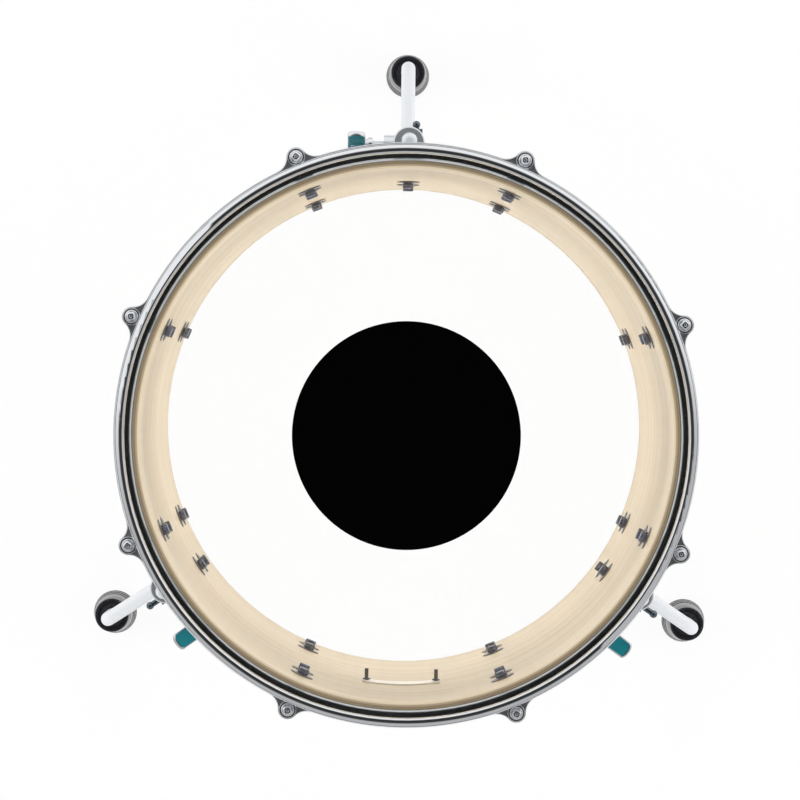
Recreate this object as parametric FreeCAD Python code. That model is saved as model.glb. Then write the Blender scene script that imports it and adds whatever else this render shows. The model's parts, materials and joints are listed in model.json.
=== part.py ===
"""A floor tom with a clear dotted batter head and a clear resonant head, as separate pieces.

Millimetres. The floor is z = 0, the drum axis is the z axis and the first leg is on the +y side.
"""

import FreeCAD, Part
import math
import os

Vector = FreeCAD.Vector
ORIGIN = Vector(0, 0, 0)
UP = Vector(0, 0, 1)
OUT = Vector(1, 0, 0)
ALONG = Vector(0, 1, 0)
FULL_TURN = 360.0
RIGHT_ANGLE = 90.0
overrun = 1.0

# Clearances shared by every fit
running_gap = 0.08
fixed_gap = 0.05

# Shell and wrap
floor_clearance = 214.0
shell_depth = 406.0
shell_radius = 202.4
shell_wall = 5.6
crest_inset = 1.2
wrap_thickness = 0.5
wrap_setback = 16.0

# Drum head film and its black dot
film_thickness = 0.25
film_seat_gap = 0.2
collar_gap = 0.8
collar_drop = 6.5
collar_bend = 1.6
tail_bend = 1.0
tail_length = 4.0
dot_radius = 84.0
dot_thickness = 0.25

# Flesh hoop, a U channel that is open upwards, and its resin
channel_sheet = 1.0
channel_clearance = 1.8
channel_width = 3.2
channel_height = 9.0
channel_bend = 1.5
channel_lip = 0.4
film_clearance = 0.3
resin_inset = 1.0

# Triple-flanged hoop
hoop_sheet = 2.3
hoop_rise = 13.0
hoop_lip_drop = 5.2
hoop_lip_width = 7.4
hoop_skirt_clearance = 0.5
hoop_step_width = 3.6
hoop_skirt_length = 8.0
hoop_flange_width = 4.95
hoop_bend = 1.7
hoop_top_bend = 1.45
hoop_lip_bend = 3.5
hoop_seat_gap = 0.05
ear_radius = 7.3
ear_flare = 12.0
ear_lap = 2.5
ear_round = 0.9
ear_hole = 3.4

# Tension rods, their washers and the swivel nuts
rod_count = 8
rod_standoff = 17.5
rod_radius = 2.75
rod_length = 58.0
rod_tip_chamfer = 0.8
rod_flange_radius = 4.9
rod_flange_height = 2.0
rod_square = 6.35
rod_square_height = 7.0
rod_square_chamfer = 0.8
rod_washer_radius = 6.4
rod_washer_hole = 3.0
rod_washer_thickness = 1.2
nut_radius = 4.6
nut_length = 16.0
nut_inset = 1.0

# Cast lugs
lug_drop = 44.0
lug_height = 66.0
lug_width = 14.6
lug_reach = 25.1
lug_toe_reach = 10.5
lug_shoulder = 34.0
lug_corner = 6.0
lug_round = 1.5
lug_cavity_radius = 3.4
lug_cavity_spare = 5.0
lug_screw_drop = 58.0
lug_screw_spacing = 38.0

# Hex screws and washers inside the shell
screw_radius = 2.4
screw_bite = 6.5
screw_hole = 2.75
screw_hex = 8.0
screw_head = 4.0
screw_washer_radius = 9.0
screw_washer_thickness = 1.4

# Leg brackets
bracket_angles = (90.0, 214.5, 325.5)
bracket_sides = (1, 1, -1)
bracket_drop = 267.5
bracket_width = 25.0
bracket_height = 40.0
bracket_reach = 38.1
bracket_round = 1.5
pad_width = 24.0
pad_height = 78.0
pad_thickness = 8.0
pad_corner = 10.0
pad_round = 2.0
pad_screw_spacing = 55.0
boss_radius = 8.5
boss_reach = 20.0

# Wing screws that clamp the legs
wing_tip_gap = 0.3
wing_shaft_radius = 4.0
wing_standoff = 9.0
wing_hub_radius = 6.5
wing_hub_length = 17.0
wing_hub_chamfer = 1.5
wing_root_place = 13.0
wing_blade_span = 18.4
wing_blade_radius = 7.2
wing_blade_thickness = 5.0
wing_blade_round = 1.5
wing_rest_angles = (20.0, 50.0, 70.0)

# Memory locks under the brackets
lock_height = 13.0
lock_radius = 11.5
lock_round = 1.5
lock_seat_gap = 0.05
lock_sides = (1, -1, 1)
lock_ear_width = 10.0
lock_ear_reach = 15.0
lock_ear_place = 6.0
lock_slit = 2.0
lock_screw_radius = 2.4
lock_screw_start = 9.0
lock_screw_reaches = (18.5, 24.0, 25.0)
lock_ball_radius = 3.2

# Legs and feet
leg_radius = 6.0
leg_standoff = 23.6
leg_top = 440.0
leg_elbow = 190.0
leg_jog = 80.0
leg_bend = 30.0
leg_tip = 8.0
leg_round = 4.5
foot_radius = 19.0
foot_top_radius = 15.0
foot_height = 50.0
foot_collar_height = 7.0
foot_groove = 1.2
foot_edge = 1.5

# Badge at the -y side
badge_angle = 270.0
badge_drop = 171.0
badge_width = 66.0
badge_height = 30.0
badge_thickness = 1.5
badge_corner = 4.0
stud_radius = 1.5
stud_spacing = 54.0
stud_reach = 10.0
backing_width = 60.0
backing_height = 26.0
backing_thickness = 1.0
push_nut_radius = 3.0
push_nut_thickness = 1.0

# Places that follow from the sizes
edge_z = floor_clearance + shell_depth
middle_z = floor_clearance + shell_depth / 2
shell_inner = shell_radius - shell_wall
wrap_radius = shell_radius + wrap_thickness
film_z = edge_z + film_seat_gap + film_thickness / 2
collar_radius = shell_radius + collar_gap + film_thickness / 2
channel_inner = shell_radius + channel_clearance
channel_outer = channel_inner + channel_width + 2 * channel_sheet
channel_middle = (channel_inner + channel_outer) / 2
film_run_z = edge_z - collar_drop
channel_top = film_run_z + film_thickness / 2 + channel_lip
channel_bottom = channel_top - channel_height
step_z = channel_top + hoop_seat_gap + hoop_sheet / 2
skirt_radius = channel_outer + hoop_skirt_clearance + hoop_sheet / 2
hoop_wall_radius = skirt_radius - hoop_step_width
flange_z = step_z - hoop_sheet / 2 - hoop_skirt_length
flange_radius = skirt_radius + hoop_flange_width
ear_top = flange_z + hoop_sheet / 2
rod_circle = wrap_radius + rod_standoff
rod_seat = ear_top + rod_washer_thickness
rod_tip = rod_seat - rod_length
rod_angles = [FULL_TURN * (step + 0.5) / rod_count for step in range(rod_count)]
lug_top = edge_z - lug_drop
lug_bottom = lug_top - lug_height
nut_top = lug_top - nut_inset
nut_bore = rod_radius + running_gap
washer_seat = math.sqrt(shell_inner**2 - screw_washer_radius**2)
screw_seat = washer_seat - screw_washer_thickness
bracket_z = edge_z - bracket_drop
leg_circle = wrap_radius + leg_standoff
foot_circle = leg_circle + leg_jog
lock_top = bracket_z - bracket_height / 2 - lock_seat_gap
badge_z = edge_z - badge_drop
backing_inner = shell_inner - fixed_gap - backing_thickness


def turned(shape, angle):
    """A copy turned about the drum axis."""
    copy = shape.copy()
    copy.rotate(ORIGIN, UP, angle)
    return copy


def flipped(shape):
    """The same piece on the resonant side."""
    return shape.mirror(Vector(0, 0, middle_z), UP)


def swapped(shape, side):
    """A copy on the other side of the x axis when the side is negative."""
    return shape.copy() if side > 0 else shape.mirror(ORIGIN, ALONG)


def shifted(shape, x, y, z):
    copy = shape.copy()
    copy.translate(Vector(x, y, z))
    return copy


def line(start, end):
    return Part.LineSegment(start, end).toShape()


def arc(start, middle, end):
    return Part.Arc(start, middle, end).toShape()


def revolved(outline):
    """A full turn of a closed outline of (radius, height) points."""
    corners = [Vector(radius, 0, height) for radius, height in outline]
    return Part.Face(Part.makePolygon(corners + corners[:1])).revolve(ORIGIN, UP, FULL_TURN)


def ring(inner, outer, low, high):
    return revolved([(inner, low), (outer, low), (outer, high), (inner, high)])


def side_edges(points, bends, offset):
    """The edges along one side of a bent sheet, from its centreline points and bend radii."""
    headings = [(b - a).normalize() for a, b in zip(points, points[1:])]
    normals = [Vector(-heading.z, 0, heading.x) for heading in headings]
    edges = []
    start = points[0] + normals[0] * offset
    for index, bend in enumerate(bends):
        before, after = headings[index], headings[index + 1]
        sharing = normals[index] + normals[index + 1]
        corner = points[index + 1] + sharing * (offset / (1 + normals[index].dot(normals[index + 1])))
        side = 1 if before.x * after.z - before.z * after.x > 0 else -1
        radius = bend - offset * side
        reach = radius * math.tan(before.getAngle(after) / 2)
        entry = corner - before * reach
        leave = corner + after * reach
        centre = entry + normals[index] * (radius * side)
        edges.append(line(start, entry))
        edges.append(arc(entry, centre + (corner - centre).normalize() * radius, leave))
        start = leave
    end = points[-1] + normals[-1] * offset
    edges.append(line(start, end))
    return edges


def bent_sheet(places, bends, thickness):
    """A sheet of even thickness turned about the drum axis, from (radius, height) places."""
    points = [Vector(radius, 0, height) for radius, height in places]
    left = side_edges(points, bends, thickness / 2)
    right = side_edges(points, bends, -thickness / 2)
    caps = [
        line(left[0].firstVertex().Point, right[0].firstVertex().Point),
        line(left[-1].lastVertex().Point, right[-1].lastVertex().Point),
    ]
    wire = Part.Wire(Part.__sortEdges__(left + right + caps))
    return Part.Face(wire).revolve(ORIGIN, UP, FULL_TURN)


def slab(width, height, corner, near, far, centre_z):
    """A plate with rounded corners that faces out along x."""
    plate = Part.makeBox(far - near, width, height, Vector(near, -width / 2, centre_z - height / 2))
    posts = [edge for edge in plate.Edges if abs(edge.tangentAt(0).x) > 0.5]
    return plate.makeFillet(corner, posts)


def front_edges(shape, x):
    """The edges that lie wholly at one x."""
    return [edge for edge in shape.Edges if edge.BoundBox.XMin > x - fixed_gap]


def capsule(start, end, radius, thickness):
    """A flat plate in the y-z plane, round at both ends, centred on x = 0."""
    along = (end - start).normalize()
    across = Vector(0, -along.z, along.y)
    edges = [
        line(start + across * radius, end + across * radius),
        arc(end + across * radius, end + along * radius, end - across * radius),
        line(end - across * radius, start - across * radius),
        arc(start - across * radius, start - along * radius, start + across * radius),
    ]
    plate = Part.Face(Part.Wire(edges)).extrude(OUT * thickness)
    return shifted(plate, -thickness / 2, 0, 0)


def cylinder_out(radius, near, far, z):
    """A round bar along x, from one distance off the drum axis to another."""
    return Part.makeCylinder(radius, far - near, Vector(near, 0, z), OUT)


def screw_places():
    """The angle and height of every screw through the shell."""
    places = []
    for angle in rod_angles:
        for drop in (lug_screw_drop, lug_screw_drop + lug_screw_spacing):
            places.append((angle, edge_z - drop))
            places.append((angle, floor_clearance + drop))
    for angle in bracket_angles:
        for half in (-pad_screw_spacing / 2, pad_screw_spacing / 2):
            places.append((angle, bracket_z + half))
    return places


def at_screws(shape):
    """Copies of a piece made at z = 0, one at every screw through the shell."""
    return [turned(shifted(shape, 0, 0, z), angle) for angle, z in screw_places()]


def shell_holes():
    """Every hole through the wall: screws and badge studs."""
    bore = cylinder_out(screw_hole, shell_inner - shell_wall, wrap_radius + overrun, 0)
    stud = cylinder_out(stud_radius + fixed_gap, shell_inner - stud_reach, wrap_radius + overrun, badge_z)
    studs = [
        turned(shifted(stud, 0, side * stud_spacing / 2, 0), badge_angle) for side in (-1, 1)
    ]
    return at_screws(bore) + studs


def make_shell():
    """The ply shell with a sloped bearing edge at both ends."""
    crest = shell_radius - crest_inset
    slope = crest - shell_inner
    diagonal = crest_inset * math.sqrt(0.5)
    low, high = floor_clearance, edge_z
    foot_arc = arc(
        Vector(crest, 0, low),
        Vector(crest + diagonal, 0, low + crest_inset - diagonal),
        Vector(shell_radius, 0, low + crest_inset),
    )
    head_arc = arc(
        Vector(shell_radius, 0, high - crest_inset),
        Vector(crest + diagonal, 0, high - crest_inset + diagonal),
        Vector(crest, 0, high),
    )
    inner_low = Vector(shell_inner, 0, low + slope)
    inner_high = Vector(shell_inner, 0, high - slope)
    edges = [
        line(inner_low, Vector(crest, 0, low)),
        foot_arc,
        line(Vector(shell_radius, 0, low + crest_inset), Vector(shell_radius, 0, high - crest_inset)),
        head_arc,
        line(Vector(crest, 0, high), inner_high),
        line(inner_high, inner_low),
    ]
    body = Part.Face(Part.Wire(edges)).revolve(ORIGIN, UP, FULL_TURN)
    return body.cut(shell_holes())


def make_wrap():
    sleeve = ring(shell_radius, wrap_radius, floor_clearance + wrap_setback, edge_z - wrap_setback)
    return sleeve.cut(shell_holes())


def make_badge():
    """A blank curved plate with two studs through the shell, its backing strip and push nuts."""
    low, high = badge_z - badge_height, badge_z + badge_height
    blank = slab(badge_width, badge_height, badge_corner, shell_inner / 2, shell_radius * 2, badge_z)
    plate = blank.common(ring(wrap_radius, wrap_radius + badge_thickness, low, high))
    strip = slab(backing_width, backing_height, badge_corner, shell_inner / 2, shell_radius, badge_z)
    backing = strip.common(ring(backing_inner, backing_inner + backing_thickness, low, high))
    half = stud_spacing / 2
    tip = math.sqrt(shell_inner**2 - half**2) - stud_reach
    nut_seat = math.sqrt(backing_inner**2 - (half + push_nut_radius) ** 2)
    nuts = []
    for side in (-half, half):
        root = math.sqrt(wrap_radius**2 - half**2) + badge_thickness / 2
        plate = plate.fuse(shifted(cylinder_out(stud_radius, tip, root, badge_z), 0, side, 0))
        hole = shifted(cylinder_out(stud_radius + fixed_gap, tip, root, badge_z), 0, side, 0)
        backing = backing.cut(hole)
        nut = cylinder_out(push_nut_radius, nut_seat - push_nut_thickness, nut_seat, badge_z)
        nuts.append(shifted(nut, 0, side, 0).cut(hole))
    return plate, backing, Part.Compound(nuts)


def is_lug_corner(edge):
    """An edge down one side of a lug's front, clear of the shell."""
    box = edge.BoundBox
    return box.XMin > wrap_radius and box.YLength < fixed_gap and box.ZLength > lug_corner


def make_lug():
    """One cast batter lug: rounded front, round toe, with a pocket for the nut and the rod."""
    half = lug_width / 2
    near = shell_inner
    far = wrap_radius + lug_reach
    round_z = lug_bottom + half
    front = [
        line(Vector(near, -half, lug_top), Vector(near, half, lug_top)),
        line(Vector(near, half, lug_top), Vector(near, half, round_z)),
        arc(Vector(near, half, round_z), Vector(near, 0, lug_bottom), Vector(near, -half, round_z)),
        line(Vector(near, -half, round_z), Vector(near, -half, lug_top)),
    ]
    body = Part.Face(Part.Wire(front)).extrude(OUT * (far - near))
    profile = [
        Vector(near, -lug_width, lug_top + overrun),
        Vector(far, -lug_width, lug_top + overrun),
        Vector(far, -lug_width, lug_top - lug_shoulder),
        Vector(wrap_radius + lug_toe_reach, -lug_width, lug_bottom),
        Vector(wrap_radius + lug_toe_reach, -lug_width, lug_bottom - overrun),
        Vector(near, -lug_width, lug_bottom - overrun),
    ]
    wedge = Part.Face(Part.makePolygon(profile + profile[:1])).extrude(ALONG * (2 * lug_width))
    body = body.common(wedge)
    corners = [edge for edge in body.Edges if is_lug_corner(edge)]
    body = body.makeFillet(lug_corner, corners)
    rim = [edge for edge in body.Edges if edge.BoundBox.ZMin > lug_top - fixed_gap]
    body = body.makeFillet(lug_round, [edge for edge in rim if edge.BoundBox.XMax > near + fixed_gap])
    pocket = Vector(rod_circle, 0, nut_top - nut_length)
    cavity = Vector(rod_circle, 0, rod_tip - lug_cavity_spare)
    cuts = [
        Part.makeCylinder(wrap_radius, 2 * lug_height, Vector(0, 0, lug_bottom - lug_height / 2)),
        Part.makeCylinder(nut_radius + fixed_gap, lug_top + overrun - pocket.z, pocket),
        Part.makeCylinder(lug_cavity_radius, lug_top - cavity.z, cavity),
    ]
    bite = wrap_radius + screw_bite + fixed_gap
    for drop in (lug_screw_drop, lug_screw_drop + lug_screw_spacing):
        cuts.append(cylinder_out(screw_radius + fixed_gap, near, bite, edge_z - drop))
    return body.cut(cuts)


def make_nut():
    """A swivel nut, threaded for one rod."""
    nut = ring(nut_bore, nut_radius, nut_top - nut_length, nut_top)
    return shifted(nut, rod_circle, 0, 0)


def make_shell_screw():
    """A hex screw through the wall, at z = 0."""
    flats = screw_hex / 2
    corner = flats / math.cos(math.pi / 6)
    points = []
    for step in range(6):
        turn = math.pi * step / 3
        points.append(Vector(screw_seat, corner * math.cos(turn), corner * math.sin(turn)))
    head = Part.Face(Part.makePolygon(points + points[:1])).extrude(OUT * -screw_head)
    shank = cylinder_out(screw_radius, screw_seat - screw_head / 2, wrap_radius + screw_bite, 0)
    return head.fuse(shank).removeSplitter()


def make_shell_washer():
    disc = cylinder_out(screw_washer_radius, screw_seat, washer_seat, 0)
    return disc.cut(cylinder_out(screw_hole, screw_seat - overrun, washer_seat + overrun, 0))


def make_film():
    """Clear film over the bearing edge, with a collar that ends down in the flesh hoop."""
    places = [
        (0, film_z),
        (collar_radius, film_z),
        (collar_radius, film_run_z),
        (channel_middle, film_run_z),
        (channel_middle, film_run_z - tail_length),
    ]
    return bent_sheet(places, [collar_bend, tail_bend, tail_bend], film_thickness)


def make_dot():
    low = film_z + film_thickness / 2
    return Part.makeCylinder(dot_radius, dot_thickness, Vector(0, 0, low))


def make_flesh_hoop():
    inner_top = film_run_z - film_thickness / 2 - film_clearance
    floor_z = channel_bottom + channel_sheet / 2
    left = channel_inner + channel_sheet / 2
    right = channel_outer - channel_sheet / 2
    places = [(left, inner_top), (left, floor_z), (right, floor_z), (right, channel_top)]
    return bent_sheet(places, [channel_bend, channel_bend], channel_sheet)


def make_resin(channel, film):
    """The cast ring that fills the flesh hoop round the film's tail."""
    left = channel_inner + channel_sheet
    right = channel_outer - channel_sheet
    high = film_run_z - film_thickness / 2 - resin_inset
    return ring(left, right, channel_bottom + channel_sheet, high).cut([channel, film])


def make_ear():
    """One ear of the hoop on the +x side, with concave flares into the flange."""
    reach = flange_radius + ear_flare
    span = ear_radius + ear_flare
    along = (reach**2 + rod_circle**2 - span**2) / (2 * rod_circle)
    rod = Vector(rod_circle, 0, 0)
    halves = []
    for side in (1, -1):
        flare = Vector(along, side * math.sqrt(reach**2 - along**2), 0)
        root = flare * (flange_radius / reach)
        tip = rod + (flare - rod) * (ear_radius / span)
        waist = flare + ((root - flare) + (tip - flare)).normalize() * ear_flare
        halves.append((root, waist, tip))
    (root, waist, tip), (far_root, far_waist, far_tip) = halves
    lap = OUT * ear_lap
    edges = [
        arc(root, waist, tip),
        arc(tip, rod + OUT * ear_radius, far_tip),
        arc(far_tip, far_waist, far_root),
        line(far_root, far_root - lap),
        line(far_root - lap, root - lap),
        line(root - lap, root),
    ]
    plate = Part.Face(Part.Wire(edges)).extrude(UP * hoop_sheet)
    return shifted(plate, 0, 0, flange_z - hoop_sheet / 2)


def flange_rim(hoop):
    """The upper and lower edges round the flange and its ears."""
    rim = []
    for edge in hoop.Edges:
        box = edge.BoundBox
        flat = box.ZLength < fixed_gap and abs(abs(box.ZMin - flange_z) - hoop_sheet / 2) < fixed_gap
        middle = edge.valueAt((edge.FirstParameter + edge.LastParameter) / 2)
        if flat and math.hypot(middle.x, middle.y) > flange_radius - fixed_gap:
            rim.append(edge)
    return rim


def make_hoop():
    """The steel counter hoop: rolled rim, wall, step on the flesh hoop, skirt, flange and ears."""
    top = edge_z + hoop_rise - hoop_sheet / 2
    lip = hoop_wall_radius + hoop_lip_width - hoop_sheet
    places = [
        (lip, edge_z + hoop_rise - hoop_lip_drop),
        (lip, top),
        (hoop_wall_radius, top),
        (hoop_wall_radius, step_z),
        (skirt_radius, step_z),
        (skirt_radius, flange_z),
        (flange_radius, flange_z),
    ]
    bends = [hoop_lip_bend, hoop_top_bend, hoop_bend, hoop_bend, hoop_bend]
    body = bent_sheet(places, bends, hoop_sheet)
    hole = Part.makeCylinder(ear_hole, 2 * hoop_sheet, Vector(rod_circle, 0, flange_z - hoop_sheet))
    ears = [turned(make_ear(), angle) for angle in rod_angles]
    holes = [turned(hole, angle) for angle in rod_angles]
    hoop = body.fuse(ears).removeSplitter()
    hoop = hoop.makeFillet(ear_round, flange_rim(hoop))
    return hoop.cut(holes)


def make_rod():
    """A square-head tension rod at the +x side."""
    flange_top = rod_length + rod_flange_height
    outline = [
        (0, 0),
        (rod_radius - rod_tip_chamfer, 0),
        (rod_radius, rod_tip_chamfer),
        (rod_radius, rod_length),
        (rod_flange_radius, rod_length),
        (rod_flange_radius, flange_top),
        (0, flange_top),
    ]
    half = rod_square / 2
    square = Part.makeBox(rod_square, rod_square, rod_square_height, Vector(-half, -half, flange_top))
    rims = [edge for edge in square.Edges if edge.BoundBox.ZMin > flange_top + rod_square_chamfer]
    square = square.makeChamfer(rod_square_chamfer, rims)
    rod = revolved(outline).fuse(square).removeSplitter()
    return shifted(rod, rod_circle, 0, rod_tip)


def make_rod_washer():
    washer = ring(rod_washer_hole, rod_washer_radius, ear_top, rod_seat)
    return shifted(washer, rod_circle, 0, 0)


def make_bracket():
    """A cast leg bracket on the +x side, with its clamp boss towards +y."""
    pad = slab(pad_width, pad_height, pad_corner, shell_inner, wrap_radius + pad_thickness, bracket_z)
    pad = pad.makeFillet(pad_round, front_edges(pad, wrap_radius + pad_thickness))
    half = bracket_width / 2
    nose = wrap_radius + bracket_reach - half
    low = bracket_z - bracket_height / 2
    plan = [
        line(Vector(shell_inner, -half, low), Vector(nose, -half, low)),
        arc(Vector(nose, -half, low), Vector(nose + half, 0, low), Vector(nose, half, low)),
        line(Vector(nose, half, low), Vector(shell_inner, half, low)),
        line(Vector(shell_inner, half, low), Vector(shell_inner, -half, low)),
    ]
    body = Part.Face(Part.Wire(plan)).extrude(UP * bracket_height)
    rims = [
        edge for edge in body.Edges
        if edge.BoundBox.ZLength < bracket_height / 2 and edge.BoundBox.XMax > nose - half
    ]
    body = body.makeFillet(bracket_round, rims)
    middle = Vector(leg_circle, 0, bracket_z)
    boss = Part.makeCylinder(boss_radius, boss_reach, middle, ALONG)
    body = body.fuse([pad, boss]).removeSplitter()
    base = Vector(leg_circle, 0, low - pad_height)
    bore = Part.makeCylinder(leg_radius + running_gap, 2 * pad_height, base)
    clamp = Part.makeCylinder(wing_shaft_radius + running_gap, boss_reach + overrun, middle, ALONG)
    seat = Part.makeCylinder(wrap_radius, 2 * pad_height, Vector(0, 0, low - pad_height / 2))
    bite = wrap_radius + screw_bite + fixed_gap
    screws = [
        cylinder_out(screw_radius + fixed_gap, shell_inner, bite, bracket_z + place)
        for place in (-pad_screw_spacing / 2, pad_screw_spacing / 2)
    ]
    return body.cut([bore, clamp, seat] + screws)


def make_wing_screw(rest_angle):
    """A wing screw whose axis runs along y through the leg's axis."""
    hub_low = boss_reach + wing_standoff
    hub_high = hub_low + wing_hub_length
    tip = leg_radius + wing_tip_gap
    outline = [
        (0, tip),
        (wing_shaft_radius, tip),
        (wing_shaft_radius, hub_low),
        (wing_hub_radius - wing_hub_chamfer, hub_low),
        (wing_hub_radius, hub_low + wing_hub_chamfer),
        (wing_hub_radius, hub_high - wing_hub_chamfer),
        (wing_hub_radius - wing_hub_chamfer, hub_high),
        (0, hub_high),
    ]
    screw = revolved(outline)
    screw.rotate(ORIGIN, OUT, -RIGHT_ANGLE)
    root = hub_low + wing_root_place
    for side in (1, -1):
        start = Vector(0, root, 0)
        end = Vector(0, root, side * wing_blade_span)
        blade = capsule(start, end, wing_blade_radius, wing_blade_thickness)
        flat = [edge for edge in blade.Edges if edge.BoundBox.XLength < wing_blade_thickness / 2]
        blade = blade.makeFillet(wing_blade_round, flat)
        screw = screw.fuse(blade)
    screw.rotate(ORIGIN, ALONG, rest_angle)
    return shifted(screw.removeSplitter(), leg_circle, 0, bracket_z)


def make_memory_lock(screw_reach):
    """A split clamp ring under the bracket with an ear, and the key screw that closes it."""
    low = lock_top - lock_height
    body = Part.makeCylinder(lock_radius, lock_height, Vector(leg_circle, 0, low))
    corner = Vector(leg_circle, -lock_ear_place - lock_ear_width / 2, low)
    body = body.fuse(Part.makeBox(lock_ear_reach, lock_ear_width, lock_height, corner)).removeSplitter()
    rims = [edge for edge in body.Edges if edge.BoundBox.ZLength < lock_height / 2]
    body = body.makeFillet(lock_round, rims)
    base = Vector(leg_circle, 0, low - lock_height / 2)
    bore = Part.makeCylinder(leg_radius + running_gap, 2 * lock_height, base)
    slit_corner = Vector(leg_circle, -lock_slit / 2, low - overrun)
    slit = Part.makeBox(lock_radius + overrun, lock_slit, lock_height + 2 * overrun, slit_corner)
    height = low + lock_height / 2
    near, far = leg_circle + lock_screw_start, leg_circle + screw_reach
    hole = shifted(cylinder_out(lock_screw_radius + fixed_gap, near, far, height), 0, -lock_ear_place, 0)
    shank = cylinder_out(lock_screw_radius, near, far, height)
    ball = Part.makeSphere(lock_ball_radius, Vector(far, 0, height))
    screw = shifted(shank.fuse(ball).removeSplitter(), 0, -lock_ear_place, 0)
    return Part.Compound([body.cut([bore, slit, hole]), screw])


def make_leg():
    """A round steel leg: straight in the bracket, a sloped jog outwards, straight into its foot."""
    points = [
        Vector(leg_circle, 0, leg_top),
        Vector(leg_circle, 0, leg_elbow),
        Vector(foot_circle, 0, leg_elbow - leg_jog),
        Vector(foot_circle, 0, leg_tip),
    ]
    edges = []
    start = points[0]
    for before, corner, after in zip(points, points[1:], points[2:]):
        enter = (corner - before).normalize()
        leave = (after - corner).normalize()
        reach = leg_bend * math.tan(enter.getAngle(leave) / 2)
        first = corner - enter * reach
        last = corner + leave * reach
        inward = (leave - enter).normalize()
        sagitta = leg_bend / math.cos(enter.getAngle(leave) / 2) - leg_bend
        edges.append(line(start, first))
        edges.append(arc(first, corner + inward * sagitta, last))
        start = last
    edges.append(line(start, points[-1]))
    section = Part.Wire(Part.makeCircle(leg_radius, points[0], UP))
    leg = Part.Wire(edges).makePipeShell([section], True, False)
    rim = [edge for edge in leg.Edges if edge.BoundBox.ZMin > leg_top - fixed_gap]
    return leg.makeFillet(leg_round, rim)


def make_foot():
    """A rubber foot on the end of a leg, wider at the floor, with a groove under its collar."""
    bore = leg_radius + fixed_gap
    collar_low = foot_height - foot_collar_height
    outline = [
        (0, 0),
        (foot_radius - foot_edge, 0),
        (foot_radius, foot_edge),
        (foot_radius, 2 * foot_edge),
        (foot_top_radius - foot_groove, collar_low - foot_groove),
        (foot_top_radius - foot_groove, collar_low),
        (foot_top_radius, collar_low + foot_groove),
        (foot_top_radius, foot_height - foot_edge),
        (foot_top_radius - foot_edge, foot_height),
        (bore, foot_height),
        (bore, leg_tip),
        (0, leg_tip),
    ]
    return shifted(revolved(outline), foot_circle, 0, 0)


def write(name, shape):
    shape.exportStep(os.path.join("parts", name + ".step"))


def write_shell():
    """The pieces that stay with the shell."""
    plate, backing, nuts = make_badge()
    write("shell", make_shell())
    write("shell_wrap", make_wrap())
    write("badge_plate", turned(plate, badge_angle))
    write("badge_backing", turned(backing, badge_angle))
    write("badge_nuts", turned(nuts, badge_angle))
    write("shell_screws", Part.Compound(at_screws(make_shell_screw())))
    write("shell_screw_washers", Part.Compound(at_screws(make_shell_washer())))
    lug, nut = make_lug(), make_nut()
    for number, angle in enumerate(rod_angles, 1):
        pair = Part.Compound([turned(lug, angle), turned(flipped(lug), angle)])
        write(f"lug_pair_{number}", pair)
    nuts = [turned(piece, angle) for piece in (nut, flipped(nut)) for angle in rod_angles]
    write("lug_nuts", Part.Compound(nuts))


def write_heads():
    """The batter head and, mirrored below it, the resonant head."""
    film, channel = make_film(), make_flesh_hoop()
    pieces = {
        "film": film,
        "flesh_hoop": channel,
        "resin": make_resin(channel, film),
        "hoop": make_hoop(),
        "rod_washers": Part.Compound([turned(make_rod_washer(), angle) for angle in rod_angles]),
    }
    for number, angle in enumerate(rod_angles, 1):
        pieces[f"rod_{number}"] = turned(make_rod(), angle)
    for name, piece in pieces.items():
        write("batter_" + name, piece)
        write("resonant_" + name, flipped(piece))
    write("batter_dot", make_dot())


def write_legs():
    """Brackets, legs, feet, memory locks and wing screws."""
    bracket, leg, foot = make_bracket(), make_leg(), make_foot()
    for step, angle in enumerate(bracket_angles):
        wing = make_wing_screw(wing_rest_angles[step])
        lock = make_memory_lock(lock_screw_reaches[step])
        number = step + 1
        write(f"leg_bracket_{number}", turned(swapped(bracket, bracket_sides[step]), angle))
        write(f"wing_screw_{number}", turned(swapped(wing, bracket_sides[step]), angle))
        write(f"memory_lock_{number}", turned(swapped(lock, lock_sides[step]), angle))
        write(f"leg_{number}", turned(leg, angle))
        write(f"leg_foot_{number}", turned(foot, angle))


os.makedirs("parts", exist_ok=True)
write_shell()
write_heads()
write_legs()
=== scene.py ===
"""Finishes, threaded hardware and a studio stage for a floor tom with clear heads.

Metres. The drum axis is the z axis and the floor is z = 0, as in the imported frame.
"""

import json
import math

import bpy
from bpy.props import FloatProperty, FloatVectorProperty, IntProperty, PointerProperty
from bpy.types import Operator, Panel, PropertyGroup
from mathutils import Matrix, Vector


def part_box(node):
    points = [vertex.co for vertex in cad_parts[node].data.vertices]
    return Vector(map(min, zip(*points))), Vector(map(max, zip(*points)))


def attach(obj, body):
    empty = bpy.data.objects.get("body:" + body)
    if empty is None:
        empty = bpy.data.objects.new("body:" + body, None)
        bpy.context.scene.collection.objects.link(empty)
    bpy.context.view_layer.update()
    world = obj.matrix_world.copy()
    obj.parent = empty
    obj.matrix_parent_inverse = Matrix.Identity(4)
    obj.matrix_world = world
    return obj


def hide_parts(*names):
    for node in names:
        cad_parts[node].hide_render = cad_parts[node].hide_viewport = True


bl_info = {
    "name": "Floor tom looks",
    "version": (1, 0, 0),
    "blender": (4, 5, 0),
    "location": "View3D > Sidebar > Floor tom",
    "description": "Finishes, threaded hardware and a studio stage for a floor tom",
    "category": "Object",
}

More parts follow.
